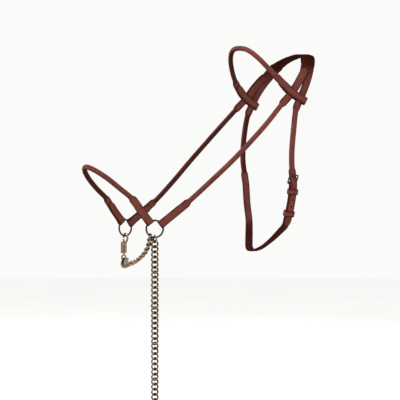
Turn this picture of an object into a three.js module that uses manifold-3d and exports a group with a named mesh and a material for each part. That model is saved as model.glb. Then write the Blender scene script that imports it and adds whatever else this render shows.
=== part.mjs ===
// Bitless hackamore: a rolled-leather headstall, two rings, and a curb-link chain that runs under the chin
// and hangs from the near ring. Millimetres, +Z up, nose towards -X, near (left) side towards -Y.
// The origin is the middle of the crown strap's flat underside, where it rests on the poll.
import * as THREE from "three";
import { mergeVertices } from "three/addons/utils/BufferGeometryUtils.js";
import Module from "manifold-3d";

const wasm = await Module();
wasm.setup();

// ---- driving dimensions ----
const STRAP_WIDTH = 13.5; // flat straps
const STRAP_THICKNESS = 3.2;
const CROWN_WIDTH = 25; // over the poll
const POLL_FLAT_HALF = 16; // half the straight length that rests on the poll
const ROLLED_DIAMETER = 8.8; // browband, noseband and cheek straps
const THROAT_ROLLED_DIAMETER = 9.8;
const CORE_GAP = 0.4; // between a cord core and the leather round it
const LEATHER_WALL = 1.7; // leather round a cord core
const SEAM_WIDTH = 0.7; // open butt seam along the back of a rolled length
const PLY_GAP = 0.35; // between pieces of leather that lie on each other
const RING_RADIUS = 14.2; // centre line of the wire
const RING_WIRE = 3.0;
const RING_YAW = THREE.MathUtils.degToRad(18); // the rings' faces turn towards the nose
const EYE_RADIUS = 4.7; // leather fold round a ring's wire
const EYE_CLEARANCE = 0.5;
const EYE_INSET = 0.8; // of the fold's middle from the wire, towards the ring's centre
const END_OVERLAP = 2; // a strap's end past the wire's centre line
const LINK_WIRE = 3.2;
const LINK_HALF_WIDTH = 5.1; // centre line
const LINK_HALF_LENGTH = 5.8; // centre line
const LINK_TWIST = THREE.MathUtils.degToRad(90);
const LINK_PLAY = 0.3; // between a ring's wire and the link that hangs on it
const CHIN_PLAY = 0.45; // at each end of the chin chain
const LINK_PITCH = 8.55; // links of one length press on each other
const HINGE_PITCH = 7.9; // links that hinge two lengths hang free of each other
const LEAD_LENGTHS = 6;
const LINKS_PER_LENGTH = 7;
const END_RING_RADIUS = 13;
const END_RING_WIRE = 3.6;
const KEEPER_WALL = 2;
const DOUBLE_THICKNESS = 5; // strap ends folded back on themselves
const LOOP_THICKNESS = 8.4; // browband loops, over the straps that they hold
// Shares of each strap's own length.
const JOIN = 0.01; // by which a flat length runs into a rolled one
const CORE_INSET = 0.015; // a cord core ends inside its rolled length
const LAP_START = 0.02; // where the crown strap's front branch comes under the cheek strap
const UPPER_CHEEK = 0.3; // the cheek strap's length that meets the crown strap and the browband
const CHEEK_LAP = 0.13; // sewn over the crown strap's front branch
const CHEEK_ROLLED = [0.225, 0.85];
const NOSEBAND_ROLLED = [0.16, 0.84];
const BROWBAND_ROLLED = [0.2, 0.8];
const BROWBAND_LOOP = 0.125;
const BROWBAND_SEWN = 0.06; // where the sewn length starts inside the loop
const NECK_IN_LOOP = [0.2, 0.5]; // the neck line's length that meets the browband
const REAR_BRANCH = 0.377; // of the whole line from poll to billet tip
const BRANCH_GAP = 0.0013; // between the crown strap's rear branch and the throatlash
const THROAT_ROLLED = [0.09, 0.553]; // near side
const STRAP_ROLLED = [0.043, 0.27]; // off side, of the whole strap under the throat
const BUCKLE_SHARE = 0.66; // the buckle's bar, along the near throatlash
const CHAPE_START = 0.008; // from the bar to the strap's end under it
const FIXED_KEEPER_SHARE = 0.727;
const SLIDING_KEEPER_SHARE = 0.9;
const KEEPER_LENGTH = 10;
const KEEPER_ROOM = 0.7; // round the straps, so that the keeper slides
const BUCKLE_WIRE = 2.4;
const BUCKLE_HALF_WIDTH = 8.8; // centre lines
const BUCKLE_REACH = 16; // bar to top bar
const BUCKLE_TILT = THREE.MathUtils.degToRad(32); // the top bar stands off the strap
const PRONG_WIRE = 1.9;
const PRONG_LENGTH = 20;
const PRONG_SLOT_WIDTH = 3;
// Ends of the prong's slots, along the strap from the bar.
const CHAPE_SLOT = [-5, 3.9];
const BILLET_SLOT = [-9.4, -1.8];
const PRONG_TILT = THREE.MathUtils.degToRad(41.5);
const PRONG_EYE_RADIUS = 2.45;
const CHAPE_EYE_RADIUS = 3.5;
const BAR_DEPTH = 1.9; // the bar under the middle of the strap folded round it
const LINK_POWER = 2.3; // an oval with fuller ends than an ellipse
const LINK_SIDES = 4;
const LINK_STEPS = 8;
const SNAP_WIRE = 3.8;
const SNAP_BARREL_RADIUS = 5.2;
const SNAP_BARREL = [-30, -10]; // from the ring's wire down
const SNAP_BARREL_X = 4;
const BOLT_RADIUS = 1.6;
const BOLT_TRAVEL = 4.2;
const SNAP_EYE_RADIUS = 5;
const SNAP_EYE_Z = -38;
const BOLT_TOP = -5.6;
const BOLT_FLANGE_RISE = 11.2; // from the barrel's bottom
const SWIVEL_HEAD_RISE = 1.3;
const SPRING_SEAT = 2.1; // from the swivel's head to the coil's middle line
const SPRING_PLAY = 0.7; // under the bolt's flange
const KNOB_REACH = 1.6; // out of the barrel
const KNOB_SLOT_WIDTH = 2.9;
const KNOB_SLOT_PLAY = 3.4;
const BOLT_CLEARANCE = 0.35;
const BOLT_FLANGE_RADIUS = 2.5;
const BOLT_KNOB_RADIUS = 1.1;
const BARREL_BORE_RADIUS = 2.9;
const BARREL_NECK_RADIUS = 1.95;
const SWIVEL_STEM_RADIUS = 1.6;
const SPRING_WIRE = 0.7;
const SPRING_RADIUS = 2;
const SPRING_TURNS = 4;
const SNAP_EYE_WIRE = 2.8;

// ---- materials ----
const leather = () => new THREE.MeshStandardMaterial({ color: 0x6b322c, roughness: 0.5 });
const cord = () => new THREE.MeshStandardMaterial({ color: 0xc9bda2, roughness: 0.9 });
const brass = () => new THREE.MeshStandardMaterial({ color: 0x8a744e, roughness: 0.35, metalness: 1 });
const steel = () => new THREE.MeshStandardMaterial({ color: 0x55504a, roughness: 0.35, metalness: 1 });

// ---- solids ----
function solidOf(geometry) {
  const bare = geometry.clone();
  bare.deleteAttribute("normal");
  bare.deleteAttribute("uv");
  const merged = mergeVertices(bare, 1e-4);
  return new wasm.Manifold(
    new wasm.Mesh({
      numProp: 3,
      vertProperties: merged.attributes.position.array,
      triVerts: new Uint32Array(merged.index.array),
    }),
  );
}

function geometryOf(solid) {
  const mesh = solid.getMesh();
  const geometry = new THREE.BufferGeometry();
  geometry.setAttribute("position", new THREE.BufferAttribute(mesh.vertProperties, 3));
  geometry.setIndex(new THREE.BufferAttribute(mesh.triVerts, 1));
  return geometry;
}

const union = (...solids) => solids.reduce((whole, solid) => whole.add(solid));
const v3 = (x, y, z) => new THREE.Vector3(x, y, z);
const mirrored = (points) => points.map((p) => v3(p.x, -p.y, p.z));

// A smooth path that carries a strap with its face turned outwards: outward(point) is the face's direction.
class StrapPath extends THREE.CatmullRomCurve3 {
  constructor(points, outward) {
    super(points, false, "centripetal");
    this.outward = outward;
  }
  computeFrenetFrames(segments) {
    const tangents = [];
    const normals = [];
    const binormals = [];
    for (let i = 0; i <= segments; i++) {
      const u = i / segments;
      const tangent = this.getTangentAt(u).normalize();
      const face = this.outward(this.getPointAt(u)).clone();
      face.addScaledVector(tangent, -face.dot(tangent)).normalize();
      tangents.push(tangent);
      binormals.push(face);
      normals.push(v3(0, 0, 0).crossVectors(face, tangent));
    }
    return { tangents, normals, binormals };
  }
}

// A closed outline of sides straight stretches round an ellipse.
function roundOutline(radiusX, radiusY, sides) {
  const shape = new THREE.Shape();
  for (let i = 0; i < sides; i++) {
    const angle = (2 * Math.PI * (i + 0.5)) / sides;
    const x = radiusX * Math.cos(angle);
    const y = radiusY * Math.sin(angle);
    if (i === 0) shape.moveTo(x, y);
    else shape.lineTo(x, y);
  }
  shape.closePath();
  return shape;
}

// A strap's section: width across, thickness outwards, with its outer edges bevelled. lift moves it outwards.
function strapOutline(width, thickness, lift = 0) {
  const w = width / 2;
  const t = thickness / 2;
  const edge = Math.min(0.8, t * 0.6);
  const corners = [[w, -t], [w, t - edge], [w - edge, t], [-w + edge, t], [-w, t - edge], [-w, -t]];
  return new THREE.Shape(corners.map(([x, y]) => new THREE.Vector2(x, y + lift)));
}

// A rolled length's section: leather round a core, with the seam open at the back.
function sleeveOutline(diameter, sides) {
  const outer = diameter / 2;
  const inner = outer - LEATHER_WALL;
  const back = -Math.PI / 2;
  const halfSeam = SEAM_WIDTH / 2 / inner;
  const shape = new THREE.Shape();
  const turn = (i) => back + halfSeam + ((2 * Math.PI - 2 * halfSeam) * i) / sides;
  for (let i = 0; i <= sides; i++) {
    const x = outer * Math.cos(turn(i));
    const y = outer * Math.sin(turn(i));
    if (i === 0) shape.moveTo(x, y);
    else shape.lineTo(x, y);
  }
  for (let i = sides; i >= 0; i--) shape.lineTo(inner * Math.cos(turn(i)), inner * Math.sin(turn(i)));
  shape.closePath();
  return shape;
}

function sweep(outline, path, steps) {
  return new THREE.ExtrudeGeometry(outline, { steps, extrudePath: path, bevelEnabled: false });
}

const flat = (path, steps, width = STRAP_WIDTH, thickness = STRAP_THICKNESS, lift = 0) =>
  solidOf(sweep(strapOutline(width, thickness, lift), path, steps));
// The space that a strap needs inside a loop or keeper.
const room = (path, steps) =>
  flat(path, steps, STRAP_WIDTH + 2 * PLY_GAP, STRAP_THICKNESS + 2 * PLY_GAP);
const sleeve = (path, steps, diameter) => solidOf(sweep(sleeveOutline(diameter, 8), path, steps));
const core = (path, steps, diameter) =>
  sweep(
    roundOutline(diameter / 2 - LEATHER_WALL - CORE_GAP, diameter / 2 - LEATHER_WALL - CORE_GAP, 8),
    path,
    steps,
  );

// The stretch of a strap path between two shares of its length.
function stretch(path, from, to, count = 12) {
  const points = [];
  for (let i = 0; i <= count; i++) points.push(path.getPointAt(from + ((to - from) * i) / count));
  return new StrapPath(points, path.outward);
}

// The frame of a path at a share of its length: X across the strap, Y outwards, Z along the path.
function placeOn(path, share, lift = 0) {
  const z = path.getTangentAt(share).normalize();
  const y = path.outward(path.getPointAt(share)).clone();
  y.addScaledVector(z, -y.dot(z)).normalize();
  const x = v3(0, 0, 0).crossVectors(y, z);
  const origin = path.getPointAt(share).addScaledVector(y, lift);
  return new THREE.Matrix4().makeBasis(x, y, z).setPosition(origin);
}

// A closed ring of wire along an ellipse (power 2) or a rounded rectangle (power 4), in the XY plane.
function wireLoop(halfX, halfY, wire, sides, steps, power = 2) {
  const plain = halfX + halfY; // radius of the plain ring that is bent to shape
  const ring = new THREE.TorusGeometry(plain, wire / 2, sides, steps).rotateZ(Math.PI / steps);
  const at = ring.attributes.position;
  const bend = (value, exponent) => Math.sign(value) * Math.abs(value) ** exponent;
  for (let i = 0; i < at.count; i++) {
    const turn = Math.atan2(at.getY(i), at.getX(i));
    const out = Math.hypot(at.getX(i), at.getY(i)) - plain;
    const x = bend(Math.cos(turn), 2 / power);
    const y = bend(Math.sin(turn), 2 / power);
    const normal = new THREE.Vector2(bend(x, power - 1) / halfX, bend(y, power - 1) / halfY).normalize();
    at.setXY(i, halfX * x + normal.x * out, halfY * y + normal.y * out);
  }
  return ring;
}

const cylinder = (radius, from, to, sides = 12) =>
  new THREE.CylinderGeometry(radius, radius, to - from, sides)
    .rotateX(Math.PI / 2)
    .translate(0, 0, (from + to) / 2);

const hackamore = new THREE.Group();
function piece(name, geometry, material) {
  const mesh = new THREE.Mesh(geometry, material);
  mesh.name = name;
  hackamore.add(mesh);
  return mesh;
}

// ---- directions out of the head ----
const HEAD_AXIS = v3(-0.81, 0, -0.585).normalize();
const HEAD_MIDDLE = v3(-95, 0, -118);
function outOfHead(point) {
  const out = point.clone().sub(HEAD_MIDDLE);
  return out.addScaledVector(HEAD_AXIS, -out.dot(HEAD_AXIS)).normalize();
}
// Round the neck the straps follow a squarish oval.
const NECK_HALF_WIDTH = 87;
const NECK_HALF_HEIGHT = 177;
const NECK_MIDDLE_Z = -175;
const outOfThroat = (point) =>
  v3(
    0,
    point.y ** 3 / NECK_HALF_WIDTH ** 4,
    (point.z - NECK_MIDDLE_Z) ** 3 / NECK_HALF_HEIGHT ** 4,
  ).normalize();

// ---- rings ----
const NEAR = -1;
const OFF = 1;
const ringCentre = (side) => v3(-325, 60 * side, -309);
const ringAcross = (side) => v3(Math.cos(RING_YAW), Math.sin(RING_YAW) * side, 0);
const ringFace = (side) => v3(-Math.sin(RING_YAW), Math.cos(RING_YAW) * side, 0);
const NOSEBAND_ANGLE = THREE.MathUtils.degToRad(128);
const CHEEK_ANGLE = THREE.MathUtils.degToRad(36);
const CHIN_ANGLE = THREE.MathUtils.degToRad(-122);

// At the muzzle the straps' faces turn to lie along the rings' faces.
const NOSE_FACE = v3(-0.585, 0, 0.81);
function outOfNose(point) {
  const turn = (Math.min(Math.abs(point.y) / 58, 1) * Math.PI) / 2;
  const side = point.y < 0 ? NEAR : OFF;
  return NOSE_FACE.clone().multiplyScalar(Math.cos(turn)).addScaledVector(ringFace(side), Math.sin(turn));
}
function outOfCheek(point) {
  const share = THREE.MathUtils.smoothstep(-point.x, 180, 290);
  return outOfHead(point).lerp(ringFace(point.y < 0 ? NEAR : OFF), share).normalize();
}

function onRing(side, angle, radius = RING_RADIUS) {
  return ringCentre(side)
    .addScaledVector(ringAcross(side), radius * Math.cos(angle))
    .add(v3(0, 0, radius * Math.sin(angle)));
}

function ringSolid(side, wire) {
  const ring = new THREE.TorusGeometry(RING_RADIUS, wire / 2, 7, 26);
  const turn = new THREE.Matrix4().makeBasis(
    ringAcross(side),
    v3(0, 0, 1),
    v3(0, 0, 0).crossVectors(ringAcross(side), v3(0, 0, 1)),
  );
  return solidOf(ring.applyMatrix4(turn.setPosition(ringCentre(side))));
}

// A strap end's fold round the ring's wire.
function eye(side, angle) {
  const fold = new THREE.CylinderGeometry(EYE_RADIUS, EYE_RADIUS, STRAP_WIDTH, 12);
  const along = ringAcross(side).multiplyScalar(-Math.sin(angle)).add(v3(0, 0, Math.cos(angle)));
  const inwards = onRing(side, angle).sub(ringCentre(side)).normalize();
  const turn = new THREE.Matrix4().makeBasis(inwards, along, v3(0, 0, 0).crossVectors(inwards, along));
  return solidOf(fold.applyMatrix4(turn.setPosition(onRing(side, angle, RING_RADIUS - EYE_INSET))));
}

for (const [side, name] of [[NEAR, "near_ring"], [OFF, "off_ring"]])
  piece(name, geometryOf(ringSolid(side, RING_WIRE)), steel());

// ---- straps: every list runs down or forward on the near side ----
const cheekPoints = [
  v3(-40, -70, -32), v3(-50, -76.5, -44), v3(-62, -81.5, -60), v3(-74, -82, -76), v3(-94, -83, -96),
  v3(-131, -87, -135), v3(-183, -84, -187), v3(-228, -74, -230), v3(-266, -67, -264),
  onRing(NEAR, CHEEK_ANGLE, RING_RADIUS + END_OVERLAP),
];
const nosebandHalf = [
  onRing(NEAR, NOSEBAND_ANGLE, RING_RADIUS + END_OVERLAP), v3(-348, -55.5, -279), v3(-363, -53, -259),
  v3(-383, -48.5, -242), v3(-402, -39, -225), v3(-417, -21, -211.5),
];
const browbandHalf = [
  v3(-50, -85.5, -90), v3(-74, -82, -76), v3(-92, -77, -58), v3(-107, -68, -39),
  v3(-124, -48, -13), v3(-133, -27, 1),
];
const frontBranch = [v3(-13, -10, -1.6), v3(-22, -38, -7), v3(-31, -55, -17)];
const rearBranch = [
  v3(-3, -10, -1.6), v3(-9, -34, -8), v3(-22, -58, -24), v3(-36, -75, -45), v3(-49, -83.2, -67),
  v3(-58.5, -84.5, -85.5),
];
const throatPoints = [
  v3(-67, -85.5, -102), v3(-74, -88, -140), v3(-77.5, -87.5, -184),
  v3(-75, -85.5, -215), v3(-72.5, -85.2, -232), v3(-72.5, -83, -250), v3(-73.5, -79, -270),
  v3(-75, -72.5, -291), v3(-76, -66.5, -306),
];
const underThroat = [
  v3(-83, -54, -317), v3(-91, -40, -331), v3(-101, -21, -345), v3(-106, 0, -350),
];
const cheekPath = new StrapPath(cheekPoints, outOfCheek);
const acrossHead = (half, middle, outward) =>
  new StrapPath([...half, middle, ...mirrored(half).reverse()], outward);
const nosebandPath = acrossHead(nosebandHalf, v3(-423, 0, -206), outOfNose);
const browbandPath = acrossHead(browbandHalf, v3(-138, 0, 5), outOfHead);

// The points that lie one strap's thickness under a path, between two shares of its length.
function under(path, from, to, count) {
  const points = [];
  for (let i = 0; i <= count; i++) {
    const point = path.getPointAt(from + ((to - from) * i) / count);
    points.push(point.addScaledVector(path.outward(point), -(STRAP_THICKNESS + PLY_GAP)));
  }
  return points;
}
// The crown strap's rear branch and the near throatlash follow one line and meet inside the browband's loop.
const neckPath = new StrapPath([...rearBranch, ...throatPoints], outOfThroat);
const rearPath = stretch(neckPath, 0, REAR_BRANCH, 10);
const throatPath = stretch(neckPath, REAR_BRANCH + BRANCH_GAP, 1, 24);
const frontPath = new StrapPath([...frontBranch, ...under(cheekPath, LAP_START, CHEEK_LAP, 4)], outOfThroat);

const mirror = (geometry) => {
  const turned = geometry.clone().applyMatrix4(new THREE.Matrix4().makeScale(1, -1, 1));
  const index = turned.index.array;
  for (let i = 0; i < index.length; i += 3) [index[i + 1], index[i + 2]] = [index[i + 2], index[i + 1]];
  return turned;
};
const mirrorSolid = (solid) => solidOf(mirror(geometryOf(solid)));

// ---- crown strap: a straight length over the poll, and a front and a rear branch on each side ----
function crownStrap() {
  const straight = [-1, 0, 1].map((share) => v3(-8, share * POLL_FLAT_HALF, -STRAP_THICKNESS / 2));
  const overPoll = flat(new StrapPath(straight, () => v3(0, 0, 1)), 2, CROWN_WIDTH);
  const nearSide = union(flat(frontPath, 10), flat(rearPath, 9)).subtract(
    room(stretch(cheekPath, 0, UPPER_CHEEK), 12),
  );
  return union(overPoll, nearSide, mirrorSolid(nearSide));
}
piece("crown_strap", geometryOf(crownStrap()), leather());

// ---- cheek straps ----
function cheekStrap() {
  const [from, to] = CHEEK_ROLLED;
  return union(
    flat(stretch(cheekPath, 0, from + JOIN), 9),
    sleeve(stretch(cheekPath, from, to), 9, ROLLED_DIAMETER),
    flat(stretch(cheekPath, to - JOIN, 1), 4, STRAP_WIDTH, DOUBLE_THICKNESS),
    eye(NEAR, CHEEK_ANGLE),
  ).subtract(ringSolid(NEAR, RING_WIRE + 2 * EYE_CLEARANCE));
}
const coreOf = (path, [from, to], steps, diameter) =>
  core(stretch(path, from + CORE_INSET, to - CORE_INSET), steps, diameter);
const cheekLeather = geometryOf(cheekStrap());
const cheekCore = geometryOf(solidOf(coreOf(cheekPath, CHEEK_ROLLED, 9, ROLLED_DIAMETER)));
piece("near_cheek_strap", cheekLeather, leather());
piece("off_cheek_strap", mirror(cheekLeather), leather());
piece("near_cheek_core", cheekCore, cord());
piece("off_cheek_core", mirror(cheekCore), cord());

// ---- noseband ----
function noseband() {
  const [from, to] = NOSEBAND_ROLLED;
  const end = union(
    flat(stretch(nosebandPath, 0, from + JOIN), 5, STRAP_WIDTH, DOUBLE_THICKNESS),
    eye(NEAR, NOSEBAND_ANGLE),
  ).subtract(ringSolid(NEAR, RING_WIRE + 2 * EYE_CLEARANCE));
  return union(end, sleeve(stretch(nosebandPath, from, to, 20), 16, ROLLED_DIAMETER), mirrorSolid(end));
}
piece("noseband", geometryOf(noseband()), leather());
piece("noseband_core", coreOf(nosebandPath, NOSEBAND_ROLLED, 16, ROLLED_DIAMETER), cord());

// ---- browband: each flat end is a loop round the cheek strap and the throatlash ----
function browband() {
  const [from, to] = BROWBAND_ROLLED;
  const loop = flat(stretch(browbandPath, 0, BROWBAND_LOOP), 5, STRAP_WIDTH, LOOP_THICKNESS);
  const end = union(flat(stretch(browbandPath, BROWBAND_SEWN, from + JOIN), 5), loop)
    .subtract(room(stretch(cheekPath, 0, UPPER_CHEEK), 12))
    .subtract(room(frontPath, 10))
    .subtract(room(stretch(neckPath, ...NECK_IN_LOOP), 12));
  return union(end, sleeve(stretch(browbandPath, from, to, 20), 16, ROLLED_DIAMETER), mirrorSolid(end));
}
piece("browband", geometryOf(browband()), leather());
piece("browband_core", coreOf(browbandPath, BROWBAND_ROLLED, 16, ROLLED_DIAMETER), cord());

// ---- throatlash: a rolled length that ends in a flat billet on the near side, and a strap that comes down
// the off side, under the throat and up to the buckle ----
const buckleAt = placeOn(throatPath, BUCKLE_SHARE, -(STRAP_THICKNESS + PLY_GAP + BAR_DEPTH));

// The prong turns on the buckle's bar: an eye round the bar and a pin through the billet's hole.
function prong(wire) {
  const ring = solidOf(new THREE.TorusGeometry(PRONG_EYE_RADIUS, wire / 2, 8, 14).rotateY(Math.PI / 2));
  const pin = solidOf(cylinder(wire / 2, -PRONG_LENGTH, -PRONG_EYE_RADIUS, 8));
  const turned = geometryOf(union(ring, pin)).rotateX(PRONG_TILT);
  return solidOf(turned.applyMatrix4(buckleAt));
}
// A slot through a strap that lets the prong through and lets it turn a little.
function prongSlot([from, to]) {
  const slot = new THREE.BoxGeometry(PRONG_SLOT_WIDTH, 13, to - from);
  return solidOf(slot.translate(0, 1.5, (from + to) / 2).applyMatrix4(buckleAt));
}

function buckleFrame(wire) {
  const loop = wireLoop(BUCKLE_HALF_WIDTH, BUCKLE_REACH / 2, wire, 6, 20, 6);
  loop.rotateX(Math.PI / 2).translate(0, 0, -BUCKLE_REACH / 2).rotateX(BUCKLE_TILT);
  return solidOf(loop.applyMatrix4(buckleAt));
}

function nearThroatlash() {
  const [from, to] = THROAT_ROLLED;
  return union(
    flat(stretch(throatPath, 0, from + JOIN, 4), 3),
    sleeve(stretch(throatPath, from, to), 10, THROAT_ROLLED_DIAMETER),
    flat(stretch(throatPath, to - JOIN, 1), 9),
  ).subtract(prongSlot(BILLET_SLOT));
}

const chapePoints = under(throatPath, BUCKLE_SHARE + CHAPE_START, 1, 5).reverse();
const throatStrapPath = new StrapPath(
  [
    ...mirrored([throatPath.getPoint(0), ...throatPoints.slice(0, 6)]),
    v3(-73.5, 79, -266), v3(-76.5, 66, -298),
    ...mirrored(underThroat),
    ...underThroat.slice(0, -1).reverse(),
    ...chapePoints,
  ],
  outOfThroat,
);

function throatStrap() {
  const [from, to] = STRAP_ROLLED;
  const barRadius = BUCKLE_WIRE / 2 + EYE_CLEARANCE;
  const barRoom = new THREE.CylinderGeometry(barRadius, barRadius, STRAP_WIDTH + 1, 8);
  const fold = new THREE.CylinderGeometry(CHAPE_EYE_RADIUS, CHAPE_EYE_RADIUS, STRAP_WIDTH, 12);
  return union(
    flat(stretch(throatStrapPath, 0, from + JOIN / 2, 4), 3),
    sleeve(stretch(throatStrapPath, from, to), 10, THROAT_ROLLED_DIAMETER),
    flat(stretch(throatStrapPath, to - JOIN / 2, 1, 30), 34),
    solidOf(fold.rotateZ(Math.PI / 2).applyMatrix4(buckleAt)),
  )
    .subtract(solidOf(barRoom.rotateZ(Math.PI / 2).applyMatrix4(buckleAt)))
    .subtract(prongSlot(CHAPE_SLOT));
}

function keeper(share, clearance) {
  const half = KEEPER_LENGTH / 2 / throatPath.getLength();
  const path = stretch(throatPath, share - half, share + half, 2);
  const reach = stretch(throatPath, share - 2 * half, share + 2 * half, 4);
  const between = -(STRAP_THICKNESS + PLY_GAP) / 2;
  const wide = STRAP_WIDTH + 2 * clearance;
  const thick = 2 * STRAP_THICKNESS + PLY_GAP + 2 * clearance;
  return flat(path, 2, wide + 2 * KEEPER_WALL, thick + 2 * KEEPER_WALL, between).subtract(
    flat(reach, 4, wide, thick, between),
  );
}

piece("near_throatlash", geometryOf(nearThroatlash()), leather());
piece("near_throatlash_core", coreOf(throatPath, THROAT_ROLLED, 10, THROAT_ROLLED_DIAMETER), cord());
piece("throat_strap", geometryOf(throatStrap()), leather());
piece("throat_strap_core", coreOf(throatStrapPath, STRAP_ROLLED, 10, THROAT_ROLLED_DIAMETER), cord());
piece("throat_buckle_frame", geometryOf(buckleFrame(BUCKLE_WIRE)), steel());
piece("throat_buckle_prong", geometryOf(prong(PRONG_WIRE)), steel());
piece("throat_fixed_keeper", geometryOf(keeper(FIXED_KEEPER_SHARE, PLY_GAP)), leather());
piece("throat_sliding_keeper", geometryOf(keeper(SLIDING_KEEPER_SHARE, KEEPER_ROOM)), leather());

// ---- chain: twisted oval links, all turned the same way, so that the chain lies flat ----
function linkGeometry(twist) {
  const link = wireLoop(LINK_HALF_WIDTH, LINK_HALF_LENGTH, LINK_WIRE, LINK_SIDES, LINK_STEPS, LINK_POWER);
  const at = link.attributes.position;
  for (let i = 0; i < at.count; i++) {
    const share = THREE.MathUtils.clamp(at.getY(i) / (2 * LINK_HALF_LENGTH), -0.5, 0.5);
    const turned = v3(at.getX(i), 0, at.getZ(i)).applyAxisAngle(v3(0, 1, 0), twist * share);
    at.setXYZ(i, turned.x, at.getY(i), turned.z);
  }
  return link;
}

// A link with its length along `up` and its upper end's bow along `bow`.
function link(centre, up, bow, twist = LINK_TWIST) {
  const y = up.clone().normalize();
  const x = bow.clone().addScaledVector(y, -bow.dot(y)).normalize().applyAxisAngle(y, -twist / 2);
  const turn = new THREE.Matrix4().makeBasis(x, y, v3(0, 0, 0).crossVectors(x, y)).setPosition(centre);
  return solidOf(linkGeometry(twist).applyMatrix4(turn));
}

const UP = v3(0, 0, 1);
const leadTop = onRing(NEAR, -Math.PI / 2);
const firstLinkDrop = LINK_HALF_LENGTH - (RING_WIRE + LINK_WIRE) / 2 - LINK_PLAY;
const lengthDrop = (LINKS_PER_LENGTH - 1) * LINK_PITCH + HINGE_PITCH;
// The chain's flat side faces the way the near ring does. The first and the last link have half the twist, so
// that a ring's wire passes squarely through each of them.
const leadBow = ringFace(NEAR).applyAxisAngle(UP, -LINK_TWIST / 2);
const leadLink = (count, at) => {
  if (count === 0) return link(at, UP, ringFace(NEAR), -LINK_TWIST / 2);
  if (count === LEAD_LENGTHS * LINKS_PER_LENGTH - 1) return link(at, UP, leadBow, LINK_TWIST / 2);
  return link(at, UP, leadBow);
};
for (let length = 0; length < LEAD_LENGTHS; length++) {
  const links = [];
  for (let i = 0; i < LINKS_PER_LENGTH; i++) {
    const drop = firstLinkDrop + length * lengthDrop + i * LINK_PITCH;
    links.push(leadLink(length * LINKS_PER_LENGTH + i, leadTop.clone().addScaledVector(UP, -drop)));
  }
  piece(`lead_chain_${length + 1}`, geometryOf(union(...links)), brass());
}
const lastLinkDrop = firstLinkDrop + LEAD_LENGTHS * lengthDrop - HINGE_PITCH;
const endRingTop = lastLinkDrop + LINK_HALF_LENGTH - (LINK_WIRE + END_RING_WIRE) / 2 - LINK_PLAY;
const endRing = new THREE.TorusGeometry(END_RING_RADIUS, END_RING_WIRE / 2, 6, 22);
endRing.applyMatrix4(
  new THREE.Matrix4()
    .makeBasis(ringFace(NEAR), UP, v3(0, 0, 0).crossVectors(ringFace(NEAR), UP))
    .setPosition(leadTop.clone().addScaledVector(UP, -endRingTop - END_RING_RADIUS)),
);
piece("lead_end_ring", endRing, brass());

// ---- snap on the off ring; its own frame has the ring's wire at x = 0, z = 0 and its barrel below ----
const snapAt = new THREE.Matrix4()
  .makeBasis(ringFace(OFF), v3(0, 0, 0).crossVectors(UP, ringFace(OFF)), UP)
  .setPosition(onRing(OFF, -Math.PI / 2));
const [BARREL_BOTTOM, BARREL_TOP] = SNAP_BARREL;
const BOLT_FLANGE = BARREL_BOTTOM + BOLT_FLANGE_RISE;
const SWIVEL_HEAD = BARREL_BOTTOM + SWIVEL_HEAD_RISE;
const inBarrel = (geometry) => solidOf(geometry.translate(SNAP_BARREL_X, 0, 0));
const snapPiece = (name, solid, material) =>
  piece(name, geometryOf(solid).applyMatrix4(snapAt), material);

function snapBody() {
  const hookPoints = [
    v3(2.2, 0, -11.5), v3(-3, 0, -10), v3(-5.6, 0, -4), v3(-3.8, 0, 2.1), v3(0, 0, 4.05), v3(3.4, 0, 2.1),
    v3(SNAP_BARREL_X + 0.2, 0, -3.2),
  ];
  const hook = sweep(
    roundOutline(SNAP_WIRE / 2, SNAP_WIRE / 2, 8),
    new StrapPath(hookPoints, () => v3(0, 1, 0)),
    18,
  );
  const slotLength = BOLT_TRAVEL + KNOB_SLOT_PLAY;
  const slot = new THREE.BoxGeometry(SNAP_BARREL_RADIUS * 2, KNOB_SLOT_WIDTH, slotLength);
  slot.translate(SNAP_BARREL_X + SNAP_BARREL_RADIUS + 1, 0, BOLT_FLANGE + 2.4 - slotLength / 2);
  return union(inBarrel(cylinder(SNAP_BARREL_RADIUS, BARREL_BOTTOM, BARREL_TOP, 16)), solidOf(hook))
    .subtract(inBarrel(cylinder(BARREL_BORE_RADIUS, BARREL_BOTTOM + 1.2, BOLT_FLANGE + 2)))
    .subtract(inBarrel(cylinder(BOLT_RADIUS + BOLT_CLEARANCE, BOLT_FLANGE, BARREL_TOP + 1)))
    .subtract(inBarrel(cylinder(BARREL_NECK_RADIUS, BARREL_BOTTOM - 1, BARREL_BOTTOM + 2)))
    .subtract(solidOf(slot));
}

function snapBolt() {
  const knobReach = SNAP_BARREL_RADIUS + KNOB_REACH;
  const knob = new THREE.CylinderGeometry(BOLT_KNOB_RADIUS, BOLT_KNOB_RADIUS, knobReach, 8);
  knob.rotateZ(Math.PI / 2).translate(knobReach / 2, 0, BOLT_FLANGE + 0.8);
  return union(
    inBarrel(cylinder(BOLT_RADIUS, BOLT_FLANGE + 0.5, BOLT_TOP)),
    inBarrel(cylinder(BOLT_FLANGE_RADIUS, BOLT_FLANGE, BOLT_FLANGE + 1.6)),
    inBarrel(knob),
  );
}

// A helix that the bolt presses on the swivel's head.
class Helix extends THREE.Curve {
  constructor(radius, from, to, turns) {
    super();
    Object.assign(this, { radius, from, to, turns });
  }
  getPoint(t) {
    const turn = 2 * Math.PI * this.turns * t;
    const along = this.from + (this.to - this.from) * t;
    return v3(this.radius * Math.cos(turn), this.radius * Math.sin(turn), along);
  }
}
function snapSpring() {
  const coil = new Helix(SPRING_RADIUS, SWIVEL_HEAD + SPRING_SEAT, BOLT_FLANGE - SPRING_PLAY, SPRING_TURNS);
  return inBarrel(sweep(roundOutline(SPRING_WIRE / 2, SPRING_WIRE / 2, 4), coil, 32));
}

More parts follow.
